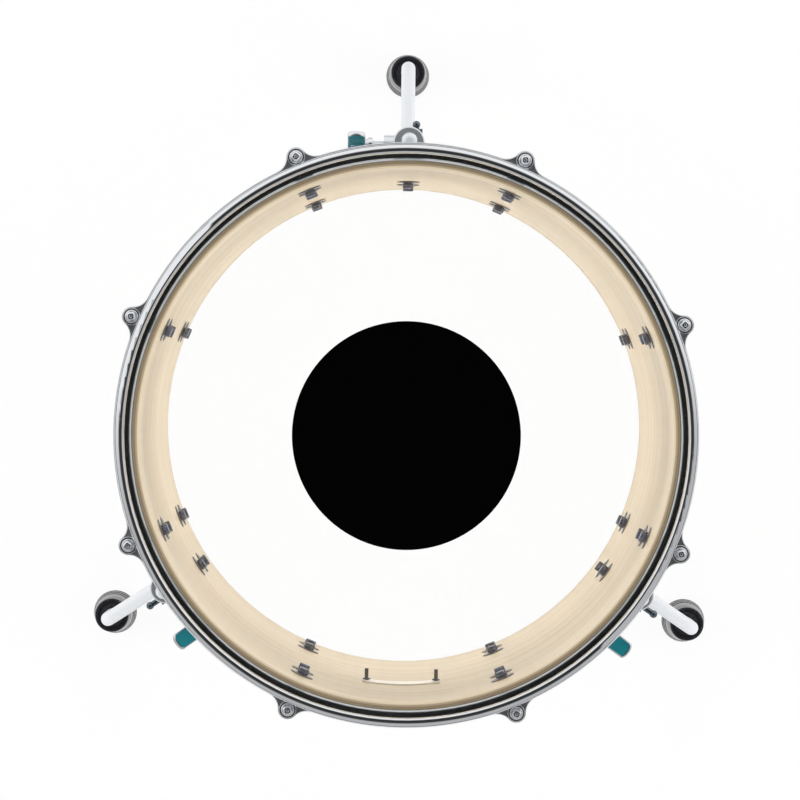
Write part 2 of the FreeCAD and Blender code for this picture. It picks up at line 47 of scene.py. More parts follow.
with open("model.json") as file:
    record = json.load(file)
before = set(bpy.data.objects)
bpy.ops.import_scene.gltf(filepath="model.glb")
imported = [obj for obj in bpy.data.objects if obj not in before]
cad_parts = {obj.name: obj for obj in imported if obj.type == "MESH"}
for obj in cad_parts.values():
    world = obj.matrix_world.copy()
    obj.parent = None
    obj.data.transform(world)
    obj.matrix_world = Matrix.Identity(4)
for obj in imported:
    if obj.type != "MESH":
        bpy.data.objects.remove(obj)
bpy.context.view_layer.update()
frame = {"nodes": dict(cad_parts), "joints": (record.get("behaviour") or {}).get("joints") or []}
NODES = frame["nodes"]
JOINTS = {joint["name"]: joint for joint in frame["joints"]}
SIDES = ("batter", "resonant")
ROD_COUNT = sum(name.startswith("batter_rod_") and name[-1].isdigit() for name in NODES)
LEG_COUNT = sum(name.startswith("leg_foot_") for name in NODES)
SHELL_LOW, SHELL_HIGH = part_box("shell")
SHELL_RADIUS = SHELL_HIGH.x
PIXELS = 800
SENSOR = 0.036
MILLIMETRES_PER_METRE = 1000
MERGE_DISTANCE = 0.000001
FINE_BUMP = 0.00005
MOULD_BUMP = 0.00008
SMOOTH_ANGLE = math.radians(32)
BEVEL_ANGLE = math.radians(40)
# Where the studio's parts fade in what metal mirrors, by the z of a direction
LOW_WALL_FADE = (-0.42, -0.15)
CEILING_FADE = (0.66, 0.93)
# The same across the room, along the bright side's direction
BRIGHT_SIDE_FADE = (-0.25, 0.35)
GOLDEN_TURN = math.pi * (3 - math.sqrt(5))
UP = Vector((0, 0, 1))
# Foot outline from the floor up: shares of its radius and of its height
FOOT_PROFILE_SHARES = (
    (0.92, 0.0), (1.0, 0.03), (1.0, 0.06), (0.945, 0.08), (0.945, 0.11), (0.98, 0.13),
    (0.955, 0.20), (0.90, 0.22), (0.90, 0.25), (0.935, 0.27), (0.905, 0.34), (0.85, 0.36),
    (0.85, 0.39), (0.885, 0.41), (0.735, 0.83), (0.72, 0.845), (0.72, 0.865), (0.789, 0.89),
    (0.789, 0.965), (0.755, 1.0), (0.70, 1.0), (0.685, 0.985), (0.67, 1.0), (0.46, 1.0),
    (0.43, 0.975), (0.33, 0.975),
)


# Settings that a user would change


def length(name, default, description):
    """A length setting in metres."""
    return FloatProperty(
        name=name, description=description, default=default, precision=5, unit="LENGTH", subtype="DISTANCE"
    )


def colour(name, default, description):
    """A colour setting, in linear light."""
    return FloatVectorProperty(
        name=name, description=description, default=default, min=0, max=1, size=3, subtype="COLOR"
    )


def level(name, default, description):
    """A plain number setting that isn't below zero."""
    return FloatProperty(name=name, description=description, default=default, min=0)


def watts(name, default):
    """A lamp's power setting."""
    return FloatProperty(name=name, description="In watts", default=default, unit="POWER")


def round_sides(default, least=12):
    """How many sides a round section has."""
    return IntProperty(name="Sides", description="Sides of a round section", default=default, min=least)


class FinishColours(PropertyGroup):
    """The colours of the drum's materials."""

    maple: colour("Maple", (0.90, 0.782, 0.58), "Pale streaks of the maple ply")
    maple_streak: colour("Maple streak", (0.87, 0.735, 0.525), "Darker streaks of the maple ply")
    # The bearing edge's dark brown is partly a sealed finish and partly painted shade of the hoop.
    maple_edge: colour("Maple edge", (0.25, 0.19, 0.115), "Sealed wood of the bearing edge, darkened further as painted shade of the hoop")
    wrap: colour("Wrap", (0.003, 0.150, 0.175), "Deep colour of the shell's outside")
    wrap_glow: colour("Wrap glow", (0.010, 0.26, 0.29), "Lighter colour in the wrap's depth")
    chrome: colour("Chrome", (0.80, 0.815, 0.84), "Plated steel and castings")
    tube: colour("Tube", (0.74, 0.755, 0.78), "Satin plating of the legs")
    lock: colour("Lock", (0.16, 0.19, 0.22), "Dark plating of the memory locks")
    screw: colour("Screw", (0.15, 0.17, 0.24), "Dark zinc of the hex screws")
    washer: colour("Washer", (0.17, 0.165, 0.17), "Dark zinc of the cup washers")
    film: colour("Film", (0.93, 0.96, 0.97), "Clear polyester film")
    dot: colour("Dot", (0.0004, 0.0004, 0.0005), "Black centre dot")
    # The flesh hoops' aluminium is darkened as painted shade of the recess that it lies in.
    channel: colour("Channel", (0.17, 0.175, 0.175), "Aluminium of the flesh hoops, darkened as painted shade of the recess")
    resin: colour("Resin", (0.045, 0.048, 0.042), "Cast resin in the flesh hoops")
    rubber: colour("Rubber", (0.007, 0.007, 0.010), "Moulded rubber of the feet")
    brass: colour("Brass", (0.62, 0.45, 0.20), "Swivel nuts")
    badge: colour("Badge", (0.14, 0.135, 0.125), "Dark nickel of the blank badge")
    fibre: colour("Fibre", (0.88, 0.86, 0.82), "Pressed fibre behind the badge")


class RodSizes(PropertyGroup):
    """The sizes of a square-head tension rod."""

    radius: length("Radius", 0.00275, "Outer radius of the thread")
    thread_depth: length("Thread depth", 0.00055, "Depth of the thread")
    pitch: length("Pitch", 0.001058, "Rise of the thread in a turn")
    thread_length: length("Thread length", 0.040, "Threaded length above the tip")
    flange_radius: length("Flange radius", 0.0049, "Radius of the flange under the head")
    flange_height: length("Flange height", 0.002, "Height of the flange")
    flange_rim: length("Flange rim", 0.0014, "Height of the flange's rim under its cone")
    flange_round: length("Flange round", 0.0003, "Rounding of the flange")
    square: length("Square", 0.00635, "Width of the square head")
    square_height: length("Square height", 0.007, "Height of the square head")
    square_corner: length("Square corner", 0.0021, "Rounding of the head's corners")
    square_bevel: length("Square bevel", 0.0012, "Bevel round the top of the head")
    dimple_radius: length("Dimple radius", 0.0012, "Radius of the centre mark on the head")
    dimple_depth: length("Dimple depth", 0.0008, "Depth of the centre mark on the head")
    washer_round: length("Washer round", 0.00045, "Rounding of the washer under the flange")
    sides: round_sides(40)


class ScrewSizes(PropertyGroup):
    """The sizes of a hex screw through the shell and of its washer."""

    radius: length("Radius", 0.0024, "Outer radius of the shank")
    hex_width: length("Hex width", 0.008, "Width of the head across its flats")
    head_height: length("Head height", 0.004, "Height of the head")
    shank_length: length("Shank length", 0.011, "Length of the shank through the shell")
    head_bevel: length("Head bevel", 0.0006, "Bevel round the head")
    washer_hole: length("Washer hole", 0.00275, "Radius of the hole in the washer")
    washer_round: length("Washer round", 0.0002, "Rounding of the washer's rim")
    washer_rim: length("Washer rim", 0.0007, "Thickness of the washer at its rim")
    washer_crown: length("Washer crown", 0.0052, "Radius of the washer's flat crown under the head")
    sides: round_sides(48)


class WingSizes(PropertyGroup):
    """The sizes of a wing screw."""

    shaft: length("Shaft", 0.004, "Outer radius of the thread")
    thread_depth: length("Thread depth", 0.0008, "Depth of the thread")
    pitch: length("Pitch", 0.00125, "Rise of the thread in a turn")
    tip: length("Tip", 0.0063, "Distance from the leg's axis to the screw's tip")
    hub_low: length("Hub foot", 0.029, "Distance from the leg's axis to the hub")
    hub_radius: length("Hub radius", 0.0065, "Radius of the hub")
    hub_length: length("Hub length", 0.017, "Length of the hub")
    hub_round: length("Hub round", 0.0012, "Rounding of the hub")
    neck: length("Neck", 0.0045, "Place of the groove above the hub's foot")
    blade_root: length("Blade root", 0.013, "Place of the blades above the hub's foot")
    blade_span: length("Blade span", 0.0184, "Distance from the axis to the centre of a blade's end")
    blade_radius: length("Blade radius", 0.0072, "Radius of a blade's round end")
    blade_thickness: length("Blade thickness", 0.005, "Thickness of a blade")
    blade_round: length("Blade round", 0.0016, "Rounding of a blade's rim")
    blunt_share: level("Blunt end", 0.5, "Length of a blade's end as a share of its radius")
    sides: round_sides(48)


class FootSizes(PropertyGroup):
    """The sizes of a rubber foot."""

    edge: length("Edge", 0.0004, "Rounding of the foot's edges")
    sides: round_sides(96, least=24)


class StageSettings(PropertyGroup):
    """The camera, the lamps and the floor."""

    focal_pixels: FloatProperty(name="Focal length", description="In pixels of the picture", default=3956)
    camera_place: FloatVectorProperty(
        name="Camera place", description="Where the camera stands", default=(-0.0180, 0.0606, 3.522),
        subtype="TRANSLATION", unit="LENGTH"
    )
    nadir: FloatVectorProperty(
        name="Nadir", description="Pixel that looks straight down", default=(383.15, 352.65), size=2
    )
    roll: FloatProperty(
        name="Roll", description="Turn of the camera", default=math.radians(0.9), unit="ROTATION"
    )
    floor_size: length("Floor size", 1.8, "Width of the floor")
    white_share: level("Floor white", 0.92, "Share of plain white in the floor as it is seen")
    sky: level("Sky", 0.43, "Light from all round")
    bright_side: FloatVectorProperty(
        name="Bright side", description="Towards the brightest wall", default=(-0.12, 0.99, 0.0),
        subtype="DIRECTION"
    )
    bright_wall: level("Bright wall", 1.0, "Mirrored on the bright side")
    dim_wall: level("Dim wall", 0.53, "Mirrored on the other side")
    low_wall: level("Low wall", 0.20, "Mirrored below the floor's edge")
    dark_sky: level("Dark sky", 0.04, "Mirrored straight above")
    lamp_power: watts("Side lamp power", 44)
    end_share: level("End lamps", 0.45, "Power of the front and rear lamps as a share of a side lamp's")
    lamp_distance: length("Lamp distance", 2.3, "From the drum axis to a side lamp")
    lamp_height: length("Lamp height", 1.4, "Height of a side lamp")
    lamp_width: length("Lamp width", 1.5, "Width of a side lamp")
    lamp_length: length("Lamp length", 2.2, "Length of a side lamp")
    top_power: watts("Top lamp power", 6)
    top_height: length("Top lamp height", 3.0, "Height of the lamp above the drum")
    top_width: length("Top lamp width", 2.0, "Width of the lamp above the drum")
    table_power: watts("Light table power", 0.75)
    table_width: length("Light table width", 0.22, "Width of the light table under the drum")
    table_height: length("Light table height", 0.19, "Height of the light table under the drum")


SETTINGS = {
    "tom_colours": FinishColours,
    "tom_rods": RodSizes,
    "tom_screws": ScrewSizes,
    "tom_wings": WingSizes,
    "tom_feet": FootSizes,
    "tom_stage": StageSettings,
}


# Shader node helpers


def wire(tree, node, sources):
    """Links a node's sockets to outputs, or sets their plain values."""
    for socket, source in sources.items():
        if isinstance(source, bpy.types.NodeSocket):
            tree.links.new(source, node.inputs[socket])
        else:
            node.inputs[socket].default_value = source


def add_node(tree, kind, sources=None, **settings):
    """A new node with its settings, wired to its sources."""
    node = tree.nodes.new(kind)
    for name, value in settings.items():
        setattr(node, name, value)
    wire(tree, node, sources or {})
    return node


def maths(tree, operation, first, second=0.0, clamp=False):
    node = add_node(tree, "ShaderNodeMath", {0: first, 1: second}, operation=operation, use_clamp=clamp)
    return node.outputs[0]


def shares_of(tree, *parts, clamp=False):
    """The sum of two values, each times its share."""
    scaled = (maths(tree, "MULTIPLY", value, share) for value, share in parts)
    return maths(tree, "ADD", *scaled, clamp)


def remap(tree, value, low, high, to_low=0.0, to_high=1.0, smooth=True):
    """A value spread from one range to another and held at both ends."""
    shape = "SMOOTHSTEP" if smooth else "LINEAR"
    ends = {"From Min": low, "From Max": high, "To Min": to_low, "To Max": to_high}
    node = add_node(tree, "ShaderNodeMapRange", {"Value": value, **ends}, interpolation_type=shape)
    return node.outputs["Result"]


def blended(tree, mask, first, second, blend="MIX"):
    """A colour between two others, or one that the second darkens."""
    sources = {"Factor": mask, "A": first, "B": second}
    node = add_node(tree, "ShaderNodeMix", sources, data_type="RGBA", blend_type=blend)
    return node.outputs[2]


def object_place(tree):
    """Object coordinates, so that a finish stays with its piece."""
    return add_node(tree, "ShaderNodeTexCoord").outputs["Object"]


def stretched_noise(tree, scale, detail):
    """Noise on Object coordinates, with its own scale along each axis."""
    mapping = add_node(tree, "ShaderNodeMapping", {"Vector": object_place(tree), "Scale": scale})
    settings = {"Scale": 1.0, "Detail": detail, "Roughness": 0.55}
    noise = add_node(tree, "ShaderNodeTexNoise", {"Vector": mapping.outputs["Vector"], **settings})
    return noise.outputs["Fac"]


def bump(tree, height, strength, distance):
    sources = {"Strength": strength, "Distance": distance, "Height": height}
    return add_node(tree, "ShaderNodeBump", sources).outputs["Normal"]


def opaque(rgb):
    return (*rgb, 1.0)


# Effects shared by several finishes


def new_group(name, inputs, outputs):
    """An empty node group with float, vector or colour sockets."""
    tree = bpy.data.node_groups.new(name, "ShaderNodeTree")
    for socket, (kind, value) in inputs.items():
        made = tree.interface.new_socket(socket, in_out="INPUT", socket_type="NodeSocket" + kind)
        made.default_value = value
    for socket, kind in outputs.items():
        tree.interface.new_socket(socket, in_out="OUTPUT", socket_type="NodeSocket" + kind)
    return tree, add_node(tree, "NodeGroupInput"), add_node(tree, "NodeGroupOutput")


def handling_marks():
    """Polish swirls and finger smears: a roughness that varies, and a fine height."""
    inputs = {
        "Scale": ("Vector", (90.0, 90.0, 90.0)),
        "Smear scale": ("Vector", (9.0, 9.0, 9.0)),
        "Clean": ("Float", 0.05),
        "Smeared": ("Float", 0.15),
    }
    tree, given, result = new_group("Handling marks", inputs, {"Roughness": "Float", "Height": "Float"})
    fine = stretched_noise(tree, given.outputs["Scale"], detail=4.0)
    smear = stretched_noise(tree, given.outputs["Smear scale"], detail=3.0)
    mask = remap(tree, smear, low=0.42, high=0.72)
    both = maths(tree, "MULTIPLY", mask, remap(tree, fine, low=0.25, high=0.75))
    rough = remap(tree, both, 0.0, 1.0, given.outputs["Clean"], given.outputs["Smeared"], smooth=False)
    wire(tree, result, {"Roughness": rough, "Height": fine})
    return tree


def grain_streaks():
    """Long soft streaks with fine pores among them: a mask and a height."""
    inputs = {"Streaks": ("Vector", (4.0, 4.0, 90.0)), "Pores": ("Vector", (30.0, 30.0, 1400.0))}
    tree, given, result = new_group("Grain streaks", inputs, {"Mask": "Float", "Height": "Float"})
    streaks = remap(tree, stretched_noise(tree, given.outputs["Streaks"], detail=5.0), low=0.34, high=0.68)
    pores = remap(tree, stretched_noise(tree, given.outputs["Pores"], detail=2.0), low=0.50, high=0.72)
    mask = shares_of(tree, (streaks, 0.75), (pores, 0.25))
    wire(tree, result, {"Mask": mask, "Height": pores})
    return tree


EFFECTS = {"marks": handling_marks, "grain": grain_streaks}


def effect(tree, name, **values):
    """Places a shared effect in a finish, with its own values."""
    maker = EFFECTS[name]
    title = maker.__name__.replace("_", " ").capitalize()
    group = bpy.data.node_groups.get(title) or maker()
    sources = {socket.replace("_", " ").capitalize(): value for socket, value in values.items()}
    return add_node(tree, "ShaderNodeGroup", sources, node_tree=group)


# Finishes


def new_finish(name):
    material = bpy.data.materials.new(name)
    material.use_nodes = True
    tree = material.node_tree
    return material, tree, tree.nodes["Principled BSDF"]


def drum_radius(tree):
    """How far a point lies from the drum axis."""
    sources = {0: object_place(tree), 1: (1.0, 1.0, 0.0)}
    flat = add_node(tree, "ShaderNodeVectorMath", sources, operation="MULTIPLY")
    size = add_node(tree, "ShaderNodeVectorMath", {0: flat.outputs["Vector"]}, operation="LENGTH")
    return size.outputs["Value"]


def maple_ply(colours):
    """Satin maple with its grain round the shell, ply lines and a darker bearing edge: sealed wood with
    painted shade of the hoop.
    """
    material, tree, shader = new_finish("Maple ply")
    wall, ply, line_share = 0.0056, 0.0008, 0.75
    seal_and_shade_start, seal_and_shade_full = -0.0006, 0.0032
    inner = SHELL_RADIUS - wall
    grain = effect(tree, "grain")
    wood = blended(tree, grain.outputs["Mask"], opaque(colours.maple), opaque(colours.maple_streak))
    depth = maths(tree, "SUBTRACT", drum_radius(tree), inner)
    # Darkens the bearing edge, and faintly the inner wall: a sealed finish plus painted shade of the hoop.
    edge = remap(tree, depth, seal_and_shade_start, seal_and_shade_full)
    stripe = maths(tree, "PINGPONG", depth, ply)
    line = remap(tree, stripe, 0.0, ply, line_share, 1.0)
    tint = blended(tree, edge, wood, opaque(colours.maple_edge))
    wire(tree, shader, {
        "Base Color": blended(tree, 1.0, tint, line, "MULTIPLY"),
        "Roughness": remap(tree, grain.outputs["Mask"], 0.0, 1.0, 0.38, 0.54),
        "Normal": bump(tree, grain.outputs["Height"], 0.25, 2 * FINE_BUMP),
        "Specular IOR Level": 0.2,
    })
    return material


def glossy_wrap(colours):
    """Deep gloss wrap with a soft glow in it and a clear top coat."""
    material, tree, shader = new_finish("Gloss wrap")
    marks = effect(tree, "marks", clean=0.06, smeared=0.16, scale=(60, 60, 60), smear_scale=(7, 7, 7))
    depth = remap(tree, stretched_noise(tree, (14, 14, 9), detail=3.0), low=0.3, high=0.75)
    flake = remap(tree, stretched_noise(tree, (2600, 2600, 2600), detail=0.0), low=0.60, high=0.72)
    glow = shares_of(tree, (depth, 0.45), (flake, 0.4), clamp=True)
    wire(tree, shader, {
        "Base Color": blended(tree, glow, opaque(colours.wrap), opaque(colours.wrap_glow)),
        "Roughness": marks.outputs["Roughness"],
        "Specular IOR Level": 0.3,
        "Coat Weight": 0.25,
        "Coat Roughness": 0.03,
    })
    return material


def plated(name, tint, clean, smeared, height=0.05, metallic=1.0, dullness=None):
    """Plated metal: bright, with swirls and smears in its polish, and duller where it is said to be."""
    material, tree, shader = new_finish(name)
    marks = effect(tree, "marks", clean=clean, smeared=smeared)
    rough = marks.outputs["Roughness"]
    wire(tree, shader, {
        "Base Color": opaque(tint),
        "Metallic": metallic,
        "Roughness": maths(tree, "ADD", rough, dullness(tree)) if dullness else rough,
        "Normal": bump(tree, marks.outputs["Height"], height, FINE_BUMP),
    })
    return material


def ear_dullness(tree):
    """How much duller the flange and the ears of a counter hoop are than its rim."""
    split = add_node(tree, "ShaderNodeSeparateXYZ", {0: object_place(tree)})
    middle = (SHELL_LOW.z + SHELL_HIGH.z) / 2
    reach = maths(tree, "ABSOLUTE", maths(tree, "SUBTRACT", split.outputs["Z"], middle))
    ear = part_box("batter_rod_washers")[0].z - middle
    fade_start, fade_end, full = 0.0002, 0.001, 0.26
    return remap(tree, reach, ear + fade_start, ear + fade_end, full, 0.0)


def clear_film(colours):
    """Clear film: nearly all light passes, less at its drawn collar, where that whiteness is a painted
    highlight, and more shines off at a low angle.
    """
    material, tree, shader = new_finish("Clear film")
    clean, smeared = 0.03, 0.14
    marks = effect(tree, "marks", clean=clean, smeared=smeared, scale=(40, 40, 40), smear_scale=(6, 6, 6))
    gloss = add_node(tree, "ShaderNodeFresnel", {"IOR": 1.45})
    haze = remap(tree, marks.outputs["Roughness"], clean, smeared, 0.002, 0.006)
    # Where the film bends over the edge it is made less clear so that its white shows: a painted highlight in
    # place of a lamp's reflection.
    bend, collar_low, collar_high, painted_collar_highlight = 0.0010, 0.0010, 0.0013, 0.45
    radius = maths(tree, "SUBTRACT", drum_radius(tree), SHELL_RADIUS)
    drawn = remap(tree, radius, -bend, 0.0, 0.0, painted_collar_highlight)
    collar = remap(tree, radius, collar_low, collar_high, drawn, 0.0)
    haze_and_highlight = maths(tree, "ADD", haze, collar)
    side = add_node(tree, "ShaderNodeNewGeometry")
    front = maths(tree, "SUBTRACT", 1.0, side.outputs["Backfacing"])
    shine_share = 0.5
    shine = maths(tree, "MULTIPLY", maths(tree, "MULTIPLY", gloss.outputs["Fac"], shine_share), front)
    wire(tree, shader, {
        "Base Color": opaque(colours.film),
        "Roughness": marks.outputs["Roughness"],
        "Alpha": maths(tree, "ADD", haze_and_highlight, shine, clamp=True),
    })
    return material


def dot_film(colours):
    """The black dot's film, smooth with faint smears."""
    material, tree, shader = new_finish("Dot film")
    marks = effect(tree, "marks", clean=0.16, smeared=0.3, scale=(30, 30, 30), smear_scale=(8, 8, 8))
    wire(tree, shader, {
        "Base Color": opaque(colours.dot),
        "Roughness": marks.outputs["Roughness"],
        "Specular IOR Level": 0.15,
    })
    return material


def cast_resin(colours):
    """Dark cast resin with a soft cloud in it."""
    material, tree, shader = new_finish("Cast resin")
    dark_share = 0.7
    cloud = remap(tree, stretched_noise(tree, (120, 120, 120), detail=3.0), low=0.3, high=0.7)
    dark = opaque([channel * dark_share for channel in colours.resin])
    wire(tree, shader, {
        "Base Color": blended(tree, cloud, opaque(colours.resin), dark),
        "Roughness": remap(tree, cloud, 0.0, 1.0, 0.25, 0.45),
    })
    return material


def moulded_rubber(colours):
    """Black rubber with a fine mould texture and a little dust."""
    material, tree, shader = new_finish("Moulded rubber")
    dust_lift, dust_share = 0.03, 0.35
    speckle = stretched_noise(tree, (1500, 1500, 1500), detail=2.0)
    dust = remap(tree, stretched_noise(tree, (60, 60, 60), detail=5.0), 0.5, 0.8, 0.0, dust_share)
    pale = opaque([channel + dust_lift for channel in colours.rubber])
    wire(tree, shader, {
        "Base Color": blended(tree, dust, opaque(colours.rubber), pale),
        "Roughness": remap(tree, speckle, 0.3, 0.7, 0.20, 0.34),
        "Normal": bump(tree, speckle, 0.2, MOULD_BUMP),
        "Coat Weight": 0.4,
        "Coat Roughness": 0.15,
    })
    return material


def pressed_fibre(colours):
    """Pale pressed fibre with short flecks in it."""
    material, tree, shader = new_finish("Pressed fibre")
    dark_share = 0.88
    fleck = remap(tree, stretched_noise(tree, (700, 700, 250), detail=3.0), low=0.45, high=0.7)
    dark = opaque([channel * dark_share for channel in colours.fibre])
    wire(tree, shader, {
        "Base Color": blended(tree, fleck, opaque(colours.fibre), dark),
        "Roughness": remap(tree, fleck, 0.0, 1.0, 0.55, 0.75),
        "Normal": bump(tree, fleck, 0.2, FINE_BUMP),
    })
    return material


def make_finishes(colours):
    """Every finish, by the material slot or the look that it serves."""
    return {
        "maple": maple_ply(colours),
        "teal_wrap": glossy_wrap(colours),
        "badge_metal": plated("Dark nickel", colours.badge, 0.22, 0.38),
        "chrome": plated("Chrome plate", colours.chrome, 0.045, 0.13),
        "nut_brass": plated("Swivel nut brass", colours.brass, 0.2, 0.4),
        "screw_steel": plated("Dark zinc", colours.screw, 0.24, 0.4, metallic=0.6),
        "washer_steel": plated("Washer zinc", colours.washer, 0.25, 0.45, metallic=0.6),
        "clear_film": clear_film(colours),
        "black_dot": dot_film(colours),
        # Dark aluminium: painted shade of the recess between the hoop and the bearing edge.
        "channel_aluminium": plated("Channel aluminium with painted shade", colours.channel, 0.3, 0.45),
        "resin": cast_resin(colours),
        "foot_rubber": moulded_rubber(colours),
        "hoop": plated("Hoop plate", colours.chrome, 0.045, 0.13, dullness=ear_dullness),
        "casting": plated("Satin casting", colours.chrome, 0.30, 0.42, height=0.15, metallic=0.88),
        "lock": plated("Lock plate", colours.lock, 0.08, 0.18),
        "leg_tube": plated("Leg tube", colours.tube, 0.30, 0.42, metallic=0.3),
        "rod_steel": plated("Rod steel", colours.chrome, 0.22, 0.34),
        "fibre": pressed_fibre(colours),
    }


# Looks apart from the slot's own, by the node's name without its number
NODE_LOOKS = {
    "badge_backing": "fibre",
    "badge_nuts": "screw_steel",
    "batter_hoop": "hoop",
    "resonant_hoop": "hoop",
    "leg_bracket": "casting",
    "memory_lock": "lock",
    "leg": "leg_tube",
}


def look_of(node, slot):
    """The finish of a CAD node: its slot's own, unless the node has a look apart."""
    return NODE_LOOKS.get(node.rstrip("_0123456789"), slot)


def finish_of(look):
    return bpy.context.scene["finish_" + look]


class TOM_OT_finishes(Operator):
    """Give every piece of the frame its finish"""

    bl_idname = "tom.finishes"
    bl_label = "Finishes"

    def execute(self, context):
        finishes = make_finishes(context.scene.tom_colours)
        for look, material in finishes.items():
            context.scene["finish_" + look] = material
        for name, node in NODES.items():
            for holder in node.material_slots:
                holder.material = finishes[look_of(name, holder.material.name)]
        return {"FINISHED"}


class TOM_OT_stage(Operator):
    """Set up the camera, the floor, the sky and the lamps"""

    bl_idname = "tom.stage"
    bl_label = "Stage"

    def execute(self, context):
        stage = context.scene.tom_stage
        context.scene.view_settings.view_transform = "Standard"
        place_camera(stage)
        lay_floor(stage)
        light_sky(stage)
        hang_lamps(stage)
        return {"FINISHED"}


def place_camera(stage):
    """A long lens over the batter head, a little off the drum axis."""
    across = (PIXELS / 2 - stage.nadir[0]) / stage.focal_pixels
    down = (PIXELS / 2 - stage.nadir[1]) / stage.focal_pixels
    turn = Matrix.Rotation(stage.roll, 3, "Z")
    back = (turn @ Vector((-across, down, 1.0))).normalized()
    right = (turn @ Vector((0, 1, 0))).cross(back).normalized()
    axes = Matrix((right, back.cross(right), back)).transposed()
    bpy.ops.object.camera_add()
    camera = bpy.context.object
    camera.name = "Camera"
    camera.matrix_world = Matrix.Translation(stage.camera_place) @ axes.to_4x4()
    camera.data.sensor_width = SENSOR * MILLIMETRES_PER_METRE
    camera.data.lens = camera.data.sensor_width * stage.focal_pixels / PIXELS
    bpy.context.scene.camera = camera


def lay_floor(stage):
    """A pale floor that the camera and reflections see as nearly white, with the drum's shadow on it."""
    clear_selection()
    bpy.ops.mesh.primitive_plane_add(size=stage.floor_size)
    floor = bpy.context.object
    floor.name = "Floor"
    material, tree, shader = new_finish("Studio floor")
    grain = remap(tree, stretched_noise(tree, (3, 3, 3), detail=2.0), low=0.3, high=0.7)
    tint = blended(tree, grain, (0.80, 0.80, 0.80, 1.0), (0.82, 0.82, 0.82, 1.0))
    wire(tree, shader, {"Base Color": tint, "Roughness": 0.8})
    glow = add_node(tree, "ShaderNodeEmission")
    white = maths(tree, "MULTIPLY", seen_directly(tree), stage.white_share)
    sources = {"Fac": white, 1: shader.outputs["BSDF"], 2: glow.outputs["Emission"]}
    mix = add_node(tree, "ShaderNodeMixShader", sources)
    wire(tree, tree.nodes["Material Output"], {"Surface": mix.outputs["Shader"]})
    floor.data.materials.append(material)


def seen_directly(tree):
    """One for rays from the camera, from mirrors and through glass, and zero for the rest."""
    path = add_node(tree, "ShaderNodeLightPath")
    mirrors = maths(tree, "ADD", path.outputs["Is Camera Ray"], path.outputs["Is Glossy Ray"], clamp=True)
    return maths(tree, "ADD", mirrors, path.outputs["Is Transmission Ray"], clamp=True)


def light_sky(stage):
    """A white studio all round. Metal mirrors one bright side, grey low walls and a dark ceiling."""
    world = bpy.data.worlds.new("Studio")
    bpy.context.scene.world = world
    world.use_nodes = True
    tree = world.node_tree
    tree.nodes.clear()
    way = add_node(tree, "ShaderNodeTexCoord").outputs["Generated"]
    height = add_node(tree, "ShaderNodeSeparateXYZ", {0: way}).outputs["Z"]
    side = add_node(tree, "ShaderNodeVectorMath", {0: way, 1: stage.bright_side}, operation="DOT_PRODUCT")
    wall = remap(tree, side.outputs["Value"], *BRIGHT_SIDE_FADE, stage.dim_wall, stage.bright_wall)
    room = remap(tree, height, *LOW_WALL_FADE, stage.low_wall, wall)
    mirrored = remap(tree, height, *CEILING_FADE, room, stage.dark_sky)
    path = add_node(tree, "ShaderNodeLightPath")
    change = maths(tree, "SUBTRACT", mirrored, stage.sky)
    strength = maths(tree, "ADD", stage.sky, maths(tree, "MULTIPLY", path.outputs["Is Glossy Ray"], change))
    white = (1.0, 1.0, 1.0, 1.0)
    light = add_node(tree, "ShaderNodeBackground", {"Color": white, "Strength": strength}).outputs[0]
    seen = add_node(tree, "ShaderNodeBackground", {"Color": white}).outputs[0]
    mix = add_node(tree, "ShaderNodeMixShader", {"Fac": path.outputs["Is Camera Ray"], 1: light, 2: seen})
    add_node(tree, "ShaderNodeOutputWorld", {"Surface": mix.outputs["Shader"]})


def hang_lamp(name, place, target, size, power):
    """A soft lamp aimed at a point, which no camera or mirror sees."""
    bpy.ops.object.light_add(type="AREA", location=place)
    lamp = bpy.context.object
    lamp.name = name
    lamp.rotation_euler = (target - place).to_track_quat("-Z", "Y").to_euler()
    lamp.data.shape = "ELLIPSE"
    lamp.data.size, lamp.data.size_y = size
    lamp.data.energy = power
    lamp.visible_camera = False
    lamp.visible_glossy = False


def hang_lamps(stage):
    """Lamps on four sides, one straight above, and a light table under the open end of the drum."""
    middle = (SHELL_LOW + SHELL_HIGH) / 2
    side_size = (stage.lamp_length, stage.lamp_width)
    for name, side, share in (
        ("Lamp.left", (-1, 0), 1.0),
        ("Lamp.right", (1, 0), 1.0),
        ("Lamp.front", (0, -1), stage.end_share),
        ("Lamp.rear", (0, 1), stage.end_share),
    ):
        place = Vector((*side, 0)) * stage.lamp_distance + UP * stage.lamp_height
        hang_lamp(name, place, middle, side_size, stage.lamp_power * share)
    top_size = (stage.top_width, stage.top_width)
    hang_lamp("Lamp.top", UP * stage.top_height, middle, top_size, stage.top_power)
    table_size = (stage.table_width, stage.table_width)
    hang_lamp("Lamp.table", UP * stage.table_height, middle, table_size, stage.table_power)


# Modelling helpers


def clear_selection():
    if bpy.context.object and bpy.context.object.mode != "OBJECT":
        bpy.ops.object.mode_set(mode="OBJECT")
    bpy.ops.object.select_all(action="DESELECT")


def take(piece):
    """Selects one piece alone and makes it the active one."""
    clear_selection()
    piece.select_set(True)
    bpy.context.view_layer.objects.active = piece


def added(name):
    """Names the primitive that was just added and puts its place into its mesh."""
    piece = bpy.context.object
    piece.name = name
    bpy.ops.object.transform_apply(location=True, rotation=True, scale=True)
    return piece


